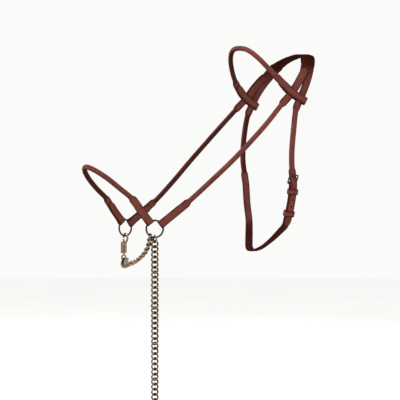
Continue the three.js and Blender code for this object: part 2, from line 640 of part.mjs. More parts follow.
function snapSwivel() {
  const eyeLoop = new THREE.TorusGeometry(SNAP_EYE_RADIUS, SNAP_EYE_WIRE / 2, 8, 16).rotateX(Math.PI / 2);
  eyeLoop.translate(0, 0, SNAP_EYE_Z);
  return union(
    inBarrel(cylinder(BOLT_FLANGE_RADIUS, SWIVEL_HEAD + 0.2, SWIVEL_HEAD + 1.5)),
    inBarrel(cylinder(SWIVEL_STEM_RADIUS, SNAP_EYE_Z + SNAP_EYE_RADIUS, SWIVEL_HEAD + 0.5)),
    inBarrel(eyeLoop),
  );
}
snapPiece("snap_body", snapBody(), brass());
snapPiece("snap_bolt", snapBolt(), brass());
snapPiece("snap_spring", snapSpring(), steel());
snapPiece("snap_swivel", snapSwivel(), brass());

// ---- chin chain: from the near ring under the chin to the snap's eye ----
const EYE_LINK_ANGLE = THREE.MathUtils.degToRad(215);
const eyeLinkOut = v3(Math.cos(EYE_LINK_ANGLE), 0, Math.sin(EYE_LINK_ANGLE));
const eyeLinkAt = v3(SNAP_BARREL_X, 0, SNAP_EYE_Z).addScaledVector(eyeLinkOut, SNAP_EYE_RADIUS);
const chinRoute = new THREE.CatmullRomCurve3(
  [
    onRing(NEAR, CHIN_ANGLE), v3(-334, -54, -336), v3(-337, -44, -350), v3(-342, -26, -362),
    v3(-346, -4, -369), v3(-343, 18, -372), v3(-335, 42, -370),
    eyeLinkAt.clone().applyMatrix4(snapAt),
  ],
  false,
  "centripetal",
);
function chinChain() {
  const run = chinRoute.getLength();
  const end = LINK_HALF_LENGTH - (RING_WIRE + LINK_WIRE) / 2 - CHIN_PLAY;
  const count = Math.round((run - 2 * end) / LINK_PITCH) + 1;
  const pitch = (run - 2 * end) / (count - 1);
  const links = [];
  for (let i = 0; i < count; i++) {
    const share = (end + i * pitch) / run;
    const back = chinRoute.getTangentAt(share).negate();
    const middle = v3(-335, 0, -318);
    const bow = chinRoute.getPointAt(share).sub(middle).cross(back).cross(back);
    links.push(link(chinRoute.getPointAt(share), back, bow));
  }
  return union(...links);
}
piece("chin_chain", geometryOf(chinChain()), brass());

// The crown strap's flat underside comes to the origin.
hackamore.position.set(8, 0, STRAP_THICKNESS);
export default hackamore;
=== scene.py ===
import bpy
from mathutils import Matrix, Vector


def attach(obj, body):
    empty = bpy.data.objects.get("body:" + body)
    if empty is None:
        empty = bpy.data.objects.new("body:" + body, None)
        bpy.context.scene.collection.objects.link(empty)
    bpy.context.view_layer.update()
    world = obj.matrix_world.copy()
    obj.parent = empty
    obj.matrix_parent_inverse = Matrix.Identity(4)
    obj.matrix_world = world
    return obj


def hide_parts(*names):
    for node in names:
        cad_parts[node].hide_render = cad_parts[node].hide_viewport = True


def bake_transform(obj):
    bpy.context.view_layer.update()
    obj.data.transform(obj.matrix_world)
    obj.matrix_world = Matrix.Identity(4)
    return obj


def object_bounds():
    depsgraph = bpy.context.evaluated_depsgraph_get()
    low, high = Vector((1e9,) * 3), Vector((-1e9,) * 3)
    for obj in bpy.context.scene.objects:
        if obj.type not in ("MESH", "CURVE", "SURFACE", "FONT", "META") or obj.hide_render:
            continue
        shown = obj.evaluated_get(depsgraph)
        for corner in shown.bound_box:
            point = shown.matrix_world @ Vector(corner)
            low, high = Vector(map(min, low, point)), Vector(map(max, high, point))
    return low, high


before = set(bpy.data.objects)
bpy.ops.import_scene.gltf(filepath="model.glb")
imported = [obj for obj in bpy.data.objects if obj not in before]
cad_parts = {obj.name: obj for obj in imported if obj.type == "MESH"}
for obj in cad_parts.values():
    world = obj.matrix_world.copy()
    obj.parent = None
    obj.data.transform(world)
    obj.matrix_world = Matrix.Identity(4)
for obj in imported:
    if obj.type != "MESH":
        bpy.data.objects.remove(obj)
cad_box = [list(corner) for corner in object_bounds()]

# Bitless hackamore: leather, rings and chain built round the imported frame.
# Lengths below are in millimetres in the part's own axes (nose -X, near side -Y, +Z up); place() turns
# them into the row frame's metres.
import bisect
import math
from collections import namedtuple

import bpy
from mathutils import Matrix, Vector

SHIFT = Vector((8, 0, 3.2))
METRE = 0.001
NEAR, OFF = -1, 1
UP = Vector((0, 0, 1))


def place(point):
    return (Vector(point) + SHIFT) * METRE


# ---- driving dimensions, as in the part ----
STRAP_WIDTH = 13.5
STRAP_THICKNESS = 3.2
PLY = 2.3  # one ply of a folded strap end
PLY_LIFT = 1.25  # of each ply from the middle of a folded end
ROLLED = 8.8
THROAT_ROLLED = 9.8
PLY_GAP = 0.35
RING_RADIUS, RING_WIRE, RING_YAW = 14.2, 3.0, math.radians(18)
LINK_WIRE, LINK_HALF_WIDTH, LINK_HALF_LENGTH = 3.2, 5.1, 5.8
LINK_TWIST = math.radians(90)
LINK_PITCH, HINGE_PITCH, LINK_POWER = 8.55, 7.9, 2.3
LEAD_LENGTHS, LINKS_PER_LENGTH = 6, 7
END_RING_RADIUS, END_RING_WIRE = 13, 3.6
SNAP_BARREL_X, SNAP_EYE_Z, SNAP_EYE_RADIUS = 4, -38, 5
SHOULDER = 7  # length over which a flat strap turns into a rolled one
LOOP_LIFT = 3.05  # of each ply of a browband loop, round the strap that it holds
FOLD_RADIUS = 3.15  # of the middle of the leather round a ring's wire
RING_GAP = 2  # from a path's last point to the middle of a ring's wire
FLAT_PLY = (STRAP_WIDTH, PLY, 0.0, ROLLED)  # the width, thickness, roll and round of a flat ply

# ---- camera: on the near side, a little in front ----
camera_data = bpy.data.cameras.new("camera")
camera_data.sensor_width = 36
camera_data.lens = 130
camera = bpy.data.objects.new("camera", camera_data)
bpy.context.scene.collection.objects.link(camera)
bpy.context.scene.camera = camera
VIEW_AZIMUTH = math.radians(-27)
VIEW_DISTANCE = 2.6
VIEW_MIDDLE = (-166.8, 85, -261)
target = place(VIEW_MIDDLE)
camera_back = Vector((math.sin(VIEW_AZIMUTH), -math.cos(VIEW_AZIMUTH), 0))
camera.location = target + camera_back * VIEW_DISTANCE
camera.rotation_mode = "QUATERNION"
camera.rotation_quaternion = (-camera_back).to_track_quat("-Z", "Y")


# ---- materials ----
class Look:
    """A Principled material, with helpers that add nodes to its tree."""

    def __init__(self, name, **sockets):
        self.material = bpy.data.materials.new(name)
        self.material.use_nodes = True
        self.tree = self.material.node_tree
        self.shader = self.tree.nodes["Principled BSDF"]
        for socket, value in sockets.items():
            self.shader.inputs[socket.replace("_", " ").title().replace("Ior", "IOR")].default_value = value
        self.coordinates = self.tree.nodes.new("ShaderNodeTexCoord").outputs["Object"]

    def link(self, output, target_input):
        self.tree.links.new(output, target_input)
        return output

    def noise(self, scale, detail=3, roughness=0.55, stretch=None):
        node = self.tree.nodes.new("ShaderNodeTexNoise")
        node.inputs["Scale"].default_value = scale
        node.inputs["Detail"].default_value = detail
        node.inputs["Roughness"].default_value = roughness
        source = self.coordinates
        if stretch:
            mapping = self.tree.nodes.new("ShaderNodeMapping")
            mapping.inputs["Scale"].default_value = stretch
            self.link(source, mapping.inputs["Vector"])
            source = mapping.outputs["Vector"]
        self.link(source, node.inputs["Vector"])
        return node.outputs["Fac"]

    def cells(self, scale):
        node = self.tree.nodes.new("ShaderNodeTexVoronoi")
        node.feature = "DISTANCE_TO_EDGE"
        node.inputs["Scale"].default_value = scale
        self.link(self.coordinates, node.inputs["Vector"])
        return self.ramp(node.outputs["Distance"], (0.0, 0.0), (0.09, 1.0))

    def tone(self):
        node = self.tree.nodes.new("ShaderNodeAttribute")
        node.attribute_name = "tone"
        return node.outputs["Fac"]

    def ramp(self, source, low, high):
        """source from low[0] to high[0], mapped to low[1] to high[1]."""
        node = self.tree.nodes.new("ShaderNodeMapRange")
        limits = {"From Min": low[0], "From Max": high[0], "To Min": low[1], "To Max": high[1]}
        for socket, value in limits.items():
            node.inputs[socket].default_value = value
        self.link(source, node.inputs["Value"])
        return node.outputs["Result"]

    def mix(self, factor, first, second):
        node = self.tree.nodes.new("ShaderNodeMix")
        node.data_type = "RGBA"
        self.link(factor, node.inputs["Factor"])
        for socket, value in ((node.inputs[6], first), (node.inputs[7], second)):
            if isinstance(value, tuple):
                socket.default_value = (*value, 1)
            else:
                self.link(value, socket)
        return node.outputs[2]

    def bump(self, source, distance, strength, under=None):
        node = self.tree.nodes.new("ShaderNodeBump")
        node.inputs["Distance"].default_value = distance
        node.inputs["Strength"].default_value = strength
        self.link(source, node.inputs["Height"])
        if under is not None:
            self.link(under, node.inputs["Normal"])
        return node.outputs["Normal"]

    def finish(self, colour, roughness, normal):
        self.link(colour, self.shader.inputs["Base Color"])
        self.link(roughness, self.shader.inputs["Roughness"])
        self.link(normal, self.shader.inputs["Normal"])
        return self.material


def leather_look(name, body, dark, worn, roughness):
    """Dyed bridle leather: fine grain, uneven dye, burnished dark edges and creases, faint rub marks, and
    painted shade from the tone.
    """
    look = Look(name)
    uneven = look.mix(look.ramp(look.noise(38, 4), (0.35, 0.0), (0.7, 1.0)), body, worn)
    mottle = look.ramp(look.noise(420, 3), (0.4, 0.0), (0.75, 0.45))
    dyed = look.mix(mottle, uneven, dark)
    # The tone darkens burnished edges and creases, and paints shade.
    edge_and_shade = look.ramp(look.tone(), (0.0, 0.0), (1.0, 0.92))
    colour = look.mix(edge_and_shade, dyed, dark)
    look.link(look.ramp(look.tone(), (0.0, 0.13), (0.75, 0.0)), look.shader.inputs["Specular IOR Level"])
    rub = look.noise(160, 5, 0.7)
    shine = look.ramp(rub, (0.3, roughness - 0.08), (0.75, roughness + 0.14))
    grain = look.bump(look.cells(1250), 0.00004, 0.35)
    pores = look.bump(look.noise(2600, 2), 0.00002, 0.3, grain)
    creased = look.bump(look.noise(210, 4, 0.6), 0.00016, 0.4, pores)
    return look.finish(colour, shine, creased)


def metal_look(name, body, tarnish_and_shade, roughness, cover):
    """Cast and polished metal with patina patches, and painted shade with patina on the inner side of its
    wire. cover is the share that is tarnished.
    """
    look = Look(name, metallic=1.0)
    patches = look.ramp(look.noise(130, 5, 0.65), (0.62 - cover, 0.0), (0.78 - cover * 0.5, 0.8))
    patched = look.mix(patches, body, tarnish_and_shade)
    # Painted shade with patina: the inner side of each wire, from the tone.
    hollow = look.ramp(look.tone(), (0.30, 0.0), (0.66, 0.97))
    colour = look.mix(hollow, patched, tarnish_and_shade)
    shine = look.ramp(look.noise(340, 4, 0.6), (0.3, roughness - 0.07), (0.75, roughness + 0.16))
    dents = look.bump(look.noise(520, 3), 0.00008, 0.5)
    scratches = look.bump(look.noise(900, 2, 0.5, (1, 1, 0.12)), 0.00003, 0.5, dents)
    return look.finish(colour, shine, scratches)


def thread_look(name, body, dark):
    """Waxed linen thread, twisted."""
    look = Look(name, sheen_weight=0.15)
    twist = look.noise(1500, 2, 0.5, (1, 1, 2.5))
    colour = look.mix(look.ramp(twist, (0.35, 0.0), (0.65, 1.0)), dark, body)
    return look.finish(colour, look.ramp(twist, (0.3, 0.55), (0.7, 0.8)), look.bump(twist, 0.0001, 0.6))


LEATHER_DARK = (0.010, 0.0022, 0.0016)
leather = leather_look("bridle_leather", (0.112, 0.0215, 0.0155), LEATHER_DARK, (0.165, 0.040, 0.028), 0.5)
brass = metal_look("aged_brass_cast", (0.31, 0.205, 0.13), (0.009, 0.003, 0.001), 0.25, 0.18)
steel = metal_look("browned_steel", (0.055, 0.038, 0.030), (0.012, 0.007, 0.005), 0.34, 0.16)
thread = thread_look("linen_thread", (0.20, 0.085, 0.060), (0.05, 0.017, 0.013))


# ---- paths ----
class StrapPath:
    """A smooth path through points, the same centripetal curve as the part's. outward(point) is the
    direction in which the strap's face looks."""

    SAMPLES = 26

    def __init__(self, points, outward=None):
        self.points = [Vector(p) for p in points]
        self.outward = outward
        count = (len(points) - 1) * self.SAMPLES
        self.table = [self.point(i / count) for i in range(count + 1)]
        self.runs = [0.0]
        for a, b in zip(self.table, self.table[1:]):
            self.runs.append(self.runs[-1] + (b - a).length)
        self.length = self.runs[-1]

    def point(self, t):
        last = len(self.points) - 1
        i = min(int(t * last), last - 1)
        w = t * last - i
        p1, p2 = self.points[i], self.points[i + 1]
        p0 = self.points[i - 1] if i > 0 else p1 * 2 - p2
        p3 = self.points[i + 2] if i + 2 <= last else p2 * 2 - p1
        d0, d1, d2 = ((b - a).length ** 0.5 for a, b in ((p0, p1), (p1, p2), (p2, p3)))
        t1 = ((p1 - p0) / d0 - (p2 - p0) / (d0 + d1) + (p2 - p1) / d1) * d1
        t2 = ((p2 - p1) / d1 - (p3 - p1) / (d1 + d2) + (p3 - p2) / d2) * d1
        c2 = p2 * 3 - p1 * 3 - t1 * 2 - t2
        c3 = p1 * 2 - p2 * 2 + t1 + t2
        return p1 + t1 * w + c2 * (w * w) + c3 * (w ** 3)

    def at(self, run):
        """The point at a distance along the path."""
        run = min(max(run, 0.0), self.length)
        i = min(max(bisect.bisect_left(self.runs, run), 1), len(self.runs) - 1)
        share = (run - self.runs[i - 1]) / (self.runs[i] - self.runs[i - 1])
        return self.table[i - 1].lerp(self.table[i], share)

    def tangent(self, run):
        return (self.at(min(run + 0.4, self.length)) - self.at(max(run - 0.4, 0))).normalized()

    def face(self, run):
        """Outward, square to the path."""
        along = self.tangent(run)
        out = self.outward(self.at(run))
        return (out - along * out.dot(along)).normalized()


def smooth(value, low, high):
    t = min(max((value - low) / (high - low), 0.0), 1.0)
    return t * t * (3 - 2 * t)


def signed_power(value, exponent):
    return math.copysign(abs(value) ** exponent, value)


HEAD_AXIS = Vector((-0.81, 0, -0.585)).normalized()
HEAD_MIDDLE = Vector((-95, 0, -118))
NOSE_FACE = Vector((-0.585, 0, 0.81))
NOSE_HALF_WIDTH = 58
NECK_HALF_WIDTH, NECK_HALF_HEIGHT, NECK_MIDDLE_Z = 87, 177, -175


def out_of_head(point):
    out = point - HEAD_MIDDLE
    return (out - HEAD_AXIS * out.dot(HEAD_AXIS)).normalized()


def out_of_throat(point):
    sideways = point.y ** 3 / NECK_HALF_WIDTH ** 4
    upwards = (point.z - NECK_MIDDLE_Z) ** 3 / NECK_HALF_HEIGHT ** 4
    return Vector((0, sideways, upwards)).normalized()


def ring_centre(side):
    return Vector((-325, 60 * side, -309))


def ring_across(side):
    return Vector((math.cos(RING_YAW), math.sin(RING_YAW) * side, 0))


def ring_face(side):
    return Vector((-math.sin(RING_YAW), math.cos(RING_YAW) * side, 0))


def on_ring(side, degrees, radius=RING_RADIUS):
    a = math.radians(degrees)
    return ring_centre(side) + ring_across(side) * (radius * math.cos(a)) + UP * (radius * math.sin(a))


def side_face(point):
    return ring_face(NEAR if point.y < 0 else OFF)


def out_of_nose(point):
    turn = min(abs(point.y) / NOSE_HALF_WIDTH, 1) * math.pi / 2
    return NOSE_FACE * math.cos(turn) + side_face(point) * math.sin(turn)


def out_of_cheek(point):
    return out_of_head(point).lerp(side_face(point), smooth(-point.x, 180, 290)).normalized()


def mirror(point):
    return Vector((point[0], -point[1], point[2]))


def mirrored(points):
    return [mirror(p) for p in points]


def under(path, start, end, count):
    """Points one strap's thickness under a path, between two shares of its length."""
    points = []
    for i in range(count + 1):
        run = (start + (end - start) * i / count) * path.length
        points.append(path.at(run) - path.outward(path.at(run)) * (STRAP_THICKNESS + PLY_GAP))
    return points


NOSEBAND_ANGLE, CHEEK_ANGLE, CHIN_ANGLE = 128, 36, -122
cheek_path = StrapPath(
    [(-40, -70, -32), (-50, -76.5, -44), (-62, -81.5, -60), (-74, -82, -76), (-94, -83, -96),
     (-131, -87, -135), (-183, -84, -187), (-228, -74, -230), (-266, -67, -264),
     on_ring(NEAR, CHEEK_ANGLE, RING_RADIUS + RING_GAP)],
    out_of_cheek,
)
nose_half = [
    on_ring(NEAR, NOSEBAND_ANGLE, RING_RADIUS + RING_GAP), (-348, -55.5, -279), (-363, -53, -259),
    (-383, -48.5, -242), (-402, -39, -225), (-417, -21, -211.5),
]
brow_half = [
    (-50, -85.5, -90), (-74, -82, -76), (-92, -77, -58), (-107, -68, -39), (-124, -48, -13), (-133, -27, 1),
]
front_branch = [(-13, -10, -1.6), (-22, -38, -7), (-31, -55, -17)]
rear_branch = [
    (-3, -10, -1.6), (-9, -34, -8), (-22, -58, -24),
    (-36, -75, -45), (-49, -83.2, -67), (-58.5, -84.5, -85.5),
]
throat_points = [
    (-67, -85.5, -102), (-74, -88, -140), (-77.5, -87.5, -184), (-75, -85.5, -215), (-72.5, -85.2, -232),
    (-72.5, -83, -250), (-73.5, -79, -270), (-75, -72.5, -291), (-76, -66.5, -306),
]
under_throat = [(-83, -54, -317), (-91, -40, -331), (-101, -21, -345), (-106, 0, -350)]
nose_path = StrapPath([*nose_half, (-423, 0, -206), *reversed(mirrored(nose_half))], out_of_nose)
brow_path = StrapPath([*brow_half, (-138, 0, 5), *reversed(mirrored(brow_half))], out_of_head)
neck_path = StrapPath([*rear_branch, *throat_points], out_of_throat)
CHEEK_LAP = (0.02, 0.13)  # shares of the cheek strap between which the crown's front branch lies under it
front_path = StrapPath([*front_branch, *under(cheek_path, *CHEEK_LAP, 4)], out_of_throat)
REAR_BRANCH = 0.377  # the crown's share of the run from the poll to the billet's tip
THROAT_GAP = 0.5  # between the rear branch and the throatlash
THROAT_SPANS = 24
rear_end = REAR_BRANCH * neck_path.length
throat_start = rear_end + THROAT_GAP
throat_span = (neck_path.length - throat_start) / THROAT_SPANS
throat_path = StrapPath(
    [neck_path.at(throat_start + throat_span * i) for i in range(THROAT_SPANS + 1)],
    out_of_throat,
)
BUCKLE_RUN = 0.66 * throat_path.length
strap_path = StrapPath(
    [*mirrored([throat_path.at(0), *throat_points[:6]]), (-73.5, 79, -266), (-76.5, 66, -298),
     *mirrored(under_throat), *reversed(under_throat[:-1]), *reversed(under(throat_path, 0.668, 1, 5))],
    out_of_throat,
)

# ---- meshes ----
Station = namedtuple("Station", "at out width thick roll round")


def skin(rings, around, closed=False):
    """A tube's faces, over rings of around vertices each. Its ends are capped unless it is closed."""
    faces = []
    for j in range(rings if closed else rings - 1):
        a, b = j * around, ((j + 1) % rings) * around
        faces += [(a + k, a + (k + 1) % around, b + (k + 1) % around, b + k) for k in range(around)]
    if not closed:
        faces += [tuple(reversed(range(around))), tuple((rings - 1) * around + k for k in range(around))]
    return faces


class Pile:
    """Vertices in metres, faces, and a tone for each vertex: 1 in a crease or on an edge, and high where
    shade is painted: in a hollow (with patina), on an underside, or by shade().
    """

    def __init__(self):
        self.vertices, self.faces, self.tones = [], [], []

    def add(self, vertices, faces, tones):
        first = len(self.vertices)
        self.vertices.extend(vertices)
        self.faces.extend([tuple(first + i for i in face) for face in faces])
        self.tones.extend(tones)
        return self

    def shade(self, amount, low, high, up=1):
        """Paints shade: darkens what lies above high, fading in from low, in millimetres; up -1 is for below.
        """
        for i, v in enumerate(self.vertices):
            z = (v.z / METRE - SHIFT.z) * up
            self.tones[i] = max(self.tones[i], amount * smooth(z, low, high))
        return self

    def build(self, name, material, body, slot=None, nodes=(), sharp=48, parent=None):
        mesh = bpy.data.meshes.new(name)
        mesh.from_pydata([tuple(v) for v in self.vertices], [], self.faces)
        mesh.attributes.new("tone", "FLOAT", "POINT").data.foreach_set("value", self.tones)
        mesh.polygons.foreach_set("use_smooth", [True] * len(mesh.polygons))
        mesh.set_sharp_from_angle(angle=math.radians(sharp))
        mesh.materials.append(material)
        mesh.update()
        piece = bpy.data.objects.new(name, mesh)
        bpy.context.scene.collection.objects.link(piece)
        if parent is not None:
            piece.parent = parent
            return piece
        if isinstance(body, tuple):
            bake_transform(piece)
        else:
            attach(piece, body)
        if nodes:
            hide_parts(*nodes)
        return piece


PAINTED_UNDERSIDE_SHADE = 0.8  # painted shade on the downward-facing sides of the straps
EDGE_POWER = 3


def outline(s):
    """A strap's section at a station, as (x across, y outward, tone): flat with creased edges, or rolled with
    an open seam at its back, or between the two."""
    w, t, r = s.width / 2, s.thick / 2, s.round / 2
    crease = min(1.7, w * 0.4)
    side = [
        (w * 0.55, -t, 0.1, -72), (w - 0.6, -t, 0.5, -54), (w - 0.12, -t + 0.4, 0.8, -34), (w, 0, 0.9, -12),
        (w - 0.12, t - 0.45, 0.8, 10), (w - 0.55, t - 0.1, 0.5, 28), (w - crease + 0.5, t, 0.15, 42),
        (w - crease, t - 0.28, 0.85, 52), (w - crease - 0.5, t, 0.1, 62), (w * 0.4, t + 0.1, 0, 76),
    ]
    points = [(0, -t, 0, -90, 1.0), *[(*p, 0.0) for p in side], (0, t + 0.14, 0, 90, 0.0)]
    points += [(-x, y, tone, 180 - a, 0.0) for x, y, tone, a in reversed(side)]
    section = []
    for x, y, tone, a, seam in points:
        radius = r - 0.55 * seam
        rx, ry = radius * math.cos(math.radians(a)), radius * math.sin(math.radians(a))
        k = s.roll
        # Painted shade, partly sweat darkening: the head-facing half of a rolled section is darkened.
        inner = max(seam, 0.75 * smooth(-math.sin(math.radians(a)), 0.05, 0.95))
        section.append((x * (1 - k) + rx * k, y * (1 - k) + ry * k, tone * (1 - k) + inner * k))
    return section


def square(stations, i, closed=False):
    """The frame of a station: across, outward and along."""
    n = len(stations)
    before = stations[(i - 1) % n if closed else max(i - 1, 0)].at
    after = stations[(i + 1) % n if closed else min(i + 1, n - 1)].at
    along = (after - before).normalized()
    out = (stations[i].out - along * stations[i].out.dot(along)).normalized()
    return out.cross(along), out, along


def ribbon(stations, closed=False, pile=None):
    """A strap's surface through its stations."""
    pile = pile or Pile()
    vertices, tones = [], []
    for i, s in enumerate(stations):
        across, out, _ = square(stations, i, closed)
        section = outline(s)
        reach_x, reach_y = max(abs(p[0]) for p in section), max(abs(p[1]) for p in section)
        power = 1 + EDGE_POWER * (1 - s.roll)
        for x, y, tone in section:
            sideways, outwards = signed_power(x / reach_x, power), signed_power(y / reach_y, power)
            facing = (across * sideways + out * outwards).normalized()
            vertices.append(place(s.at + across * x + out * y))
            # Painted shade: the downward-facing part of each section is darkened.
            tones.append(max(tone, PAINTED_UNDERSIDE_SHADE * smooth(-facing.z, 0.15, 0.85)))
    return pile.add(vertices, skin(len(stations), len(vertices) // len(stations), closed), tones)


def steps(start, end, pitch):
    count = max(2, round(abs(end - start) / pitch))
    return [start + (end - start) * i / count for i in range(count + 1)]


def lay(path, start, end, shape, pitch=3.0, turn=1):
    """Stations between two distances along a path. shape(run) gives (width, thickness, roll, lift).
    turn -1 is for a ply that lies with its outer side towards the head."""
    stations = []
    for run in steps(start, end, pitch):
        width, thick, roll, lift = shape(run)
        out = path.face(run)
        stations.append(Station(path.at(run) + out * lift, out * turn, width, thick, roll, shape.round))
    return stations


TIP_WIDTH, TIP_THICK = 0.28, 0.72  # what a rounded end keeps of its width and thickness


class Shape:
    """A strap's width, thickness, roll and lift against the distance along it."""

    def __init__(self, thick=STRAP_THICKNESS, rolled=None, round_=ROLLED, lift=0, lifts=None, tips=()):
        self.thick, self.rolled, self.round = thick, rolled, round_
        self.lift, self.lifts, self.tips = lift, lifts, tips

    def __call__(self, run):
        roll = 0.0
        if self.rolled:
            start, end = self.rolled
            roll = smooth(run, start - SHOULDER / 2, start + SHOULDER / 2)
            roll *= 1 - smooth(run, end - SHOULDER / 2, end + SHOULDER / 2)
        lift = self.lifts(run) if self.lifts else self.lift * (1 - roll)
        width, thick = STRAP_WIDTH, self.thick
        for tip, length in self.tips:  # a rounded end at distance tip
            share = min(abs(run - tip) / length, 1.0)
            width *= TIP_WIDTH + (1 - TIP_WIDTH) * math.sqrt(1 - (1 - share) ** 2)
            thick *= TIP_THICK + (1 - TIP_THICK) * smooth(share, 0, 1)
        return width, thick, roll, lift


FOLD_RUN = 7  # from the end of the two plies to the end of the path
FOLD_NECK, FOLD_NECK_LIFT = 4.2, 2.3  # where the plies open round the wire
FOLD_STEPS = 10
TOP_START, BACK_END = 1, 4  # from the shoulder to the ends of the upper and the lower ply
TIP_LENGTH = 7
PLY_PITCH = 2.5


def folded(path, end, shoulder, direction=1):
    """Stations of a strap end that goes round a ring's wire and back under itself. The path ends RING_GAP
    short of the middle of the wire. shoulder is where the rolled length starts, and direction is -1 at a
    path's start."""
    run_end = end - direction * FOLD_RUN
    top = lay(path, shoulder + direction * TOP_START, run_end, Shape(PLY, lift=PLY_LIFT), PLY_PITCH)
    face = path.face(end)
    inward = path.tangent(end) * direction
    wire = path.at(end) + inward * RING_GAP
    neck = wire - inward * FOLD_NECK
    stations = [Station(neck + face * FOLD_NECK_LIFT, face, *FLAT_PLY)]
    for k in range(FOLD_STEPS + 1):
        a = math.pi * k / FOLD_STEPS
        out = face * math.cos(a) + inward * math.sin(a)
        stations.append(Station(wire + out * FOLD_RADIUS, out, *FLAT_PLY))
    stations.append(Station(neck - face * FOLD_NECK_LIFT, -face, *FLAT_PLY))
    back_end = shoulder + direction * BACK_END
    back_shape = Shape(PLY, lift=-PLY_LIFT, tips=((back_end, TIP_LENGTH),))
    return top, stations + lay(path, run_end, back_end, back_shape, PLY_PITCH, turn=-1)


STITCH_RADIUS, STITCH_HALF_LENGTH, STITCH_SIDES = 0.32, 1.1, 6
# A stitch's rings: the place along it, the share of its radius and the depth below its middle.
STITCH_RINGS = ((-1, 0.3, 0.25), (-0.75, 0.85, 0.06), (0, 1, 0), (0.75, 0.85, 0.06), (1, 0.3, 0.25))
EDGE_PITCH, SEAM_PITCH = 3.1, 4.2
SEAM_INSET = 5  # of a seam from the ends of the rolled length


def stitch(centre, across, out, along, down):
    """One stitch, whose ends go down into the leather."""
    vertices = []
    for place_along, size, depth in STITCH_RINGS:
        radius = STITCH_RADIUS * size
        for k in range(STITCH_SIDES):
            angle = 2 * math.pi * k / STITCH_SIDES
            lean = across * (math.cos(angle) * radius) + out * (math.sin(angle) * radius)
            vertices.append(place(centre + along * (place_along * STITCH_HALF_LENGTH) + lean + down * depth))
    return vertices, skin(len(STITCH_RINGS), STITCH_SIDES), [0.0] * len(vertices)


def stitch_rows(stations, rows, pitch=EDGE_PITCH, pile=None):
    """Stitches along stations, at the (across, outward) places that rows(station) gives."""
    pile = pile or Pile()
    travelled, due = 0.0, pitch / 2
    for i in range(1, len(stations)):
        a, b = stations[i - 1], stations[i]
        span = (b.at - a.at).length
        while span > 0 and due <= travelled + span:
            share = (due - travelled) / span
            across, out, along = square(stations, i)
            middle = a.at.lerp(b.at, share)
            for x, y in rows(a):
                down = out * -math.copysign(1, y)
                pile.add(*stitch(middle + across * x + out * y, across, out, along, down))
            due += pitch
        travelled += span
    return pile


def edge_rows(s):
    w, t = s.width / 2 - 1.7, s.thick / 2 - 0.1
    return [(w, t), (-w, t)]


def seam_row(s):
    return [(0, -s.round / 2 + 0.35)]


def seam_run(path, rolled, round_=ROLLED):
    """Stations along the open seam of a rolled length."""
    return lay(path, rolled[0] + SEAM_INSET, rolled[1] - SEAM_INSET, Shape(round_=round_))


def flip(stations):
    """The same stations on the other side of the head."""
    return [s._replace(at=mirror(s.at), out=mirror(s.out)) for s in stations]


def cut(piece, cutter_pile):
    """Takes the cutter's solids out of a piece."""
    cutter = cutter_pile.build("cutter_" + piece.name, leather, "headstall", sharp=30)
    tool = piece.modifiers.new("cut", "BOOLEAN")
    tool.operation, tool.solver, tool.object = "DIFFERENCE", "EXACT", cutter
    evaluated = piece.evaluated_get(bpy.context.evaluated_depsgraph_get())
    made = bpy.data.meshes.new_from_object(evaluated)
    piece.modifiers.clear()
    old, piece.data = piece.data, made
    made.name = piece.name
    bpy.data.meshes.remove(old)
    bpy.data.objects.remove(cutter)


# ---- cheek straps ----
STRAP_PITCH = 2.0
CHEEK_ROLLED = (0.225 * cheek_path.length, 0.85 * cheek_path.length)
cheek_shape = Shape(
    rolled=CHEEK_ROLLED, tips=((0, 8),),
    lifts=lambda run: PLY_LIFT * smooth(run, CHEEK_ROLLED[1] - SHOULDER, CHEEK_ROLLED[1] + SHOULDER),
)


def thinned(stations, count=8):
    """The strap thins to one ply over its last stations."""
    last = len(stations) - 1
    drops = [(STRAP_THICKNESS - PLY) * smooth(i, last - count, last) for i in range(last + 1)]
    return [s._replace(thick=STRAP_THICKNESS - drop) for s, drop in zip(stations, drops)]


cheek_main = thinned(lay(cheek_path, 0, CHEEK_ROLLED[1] + SHOULDER, cheek_shape, STRAP_PITCH))
cheek_top, cheek_fold = folded(cheek_path, cheek_path.length, CHEEK_ROLLED[1] + SHOULDER)
cheek_stations = cheek_main + cheek_top + cheek_fold
cheek_lap = lay(cheek_path, 4, CHEEK_LAP[1] * cheek_path.length - 8, Shape(), STRAP_PITCH)
cheek_seam = seam_run(cheek_path, CHEEK_ROLLED)
for side, turn in (("near", list), ("off", flip)):
    strap = ribbon(turn(cheek_stations)).build(
        f"{side}_cheek_leather", leather, "headstall", "brown_leather",
        (f"{side}_cheek_strap", f"{side}_cheek_core"),
    )
    rows = stitch_rows(turn(cheek_lap), edge_rows)
    stitch_rows(turn(cheek_top[1:]), edge_rows, pile=rows)
    stitch_rows(turn(cheek_seam), seam_row, SEAM_PITCH, rows)
    rows.build(f"{side}_cheek_stitches", thread, "headstall", parent=strap)

# ---- noseband ----
NOSE_ROLLED = (0.16 * nose_path.length, 0.84 * nose_path.length)
nose_top, nose_fold = folded(nose_path, 0, NOSE_ROLLED[0] - SHOULDER, -1)
nose_start = list(reversed(nose_top + nose_fold))
nose_middle = lay(
    nose_path, NOSE_ROLLED[0] - SHOULDER, NOSE_ROLLED[1] + SHOULDER,
    Shape(PLY, rolled=NOSE_ROLLED, lift=PLY_LIFT), STRAP_PITCH,
)
nose_stations = nose_start + nose_middle + list(reversed(flip(nose_start)))
noseband = ribbon(nose_stations).build(
    "noseband_leather", leather, "headstall", "brown_leather", ("noseband", "noseband_core")
)
nose_rows = stitch_rows(nose_top[1:], edge_rows)
stitch_rows(flip(nose_top[1:]), edge_rows, pile=nose_rows)
stitch_rows(seam_run(nose_path, NOSE_ROLLED), seam_row, SEAM_PITCH, nose_rows)
nose_rows.build("noseband_stitches", thread, "headstall", parent=noseband)

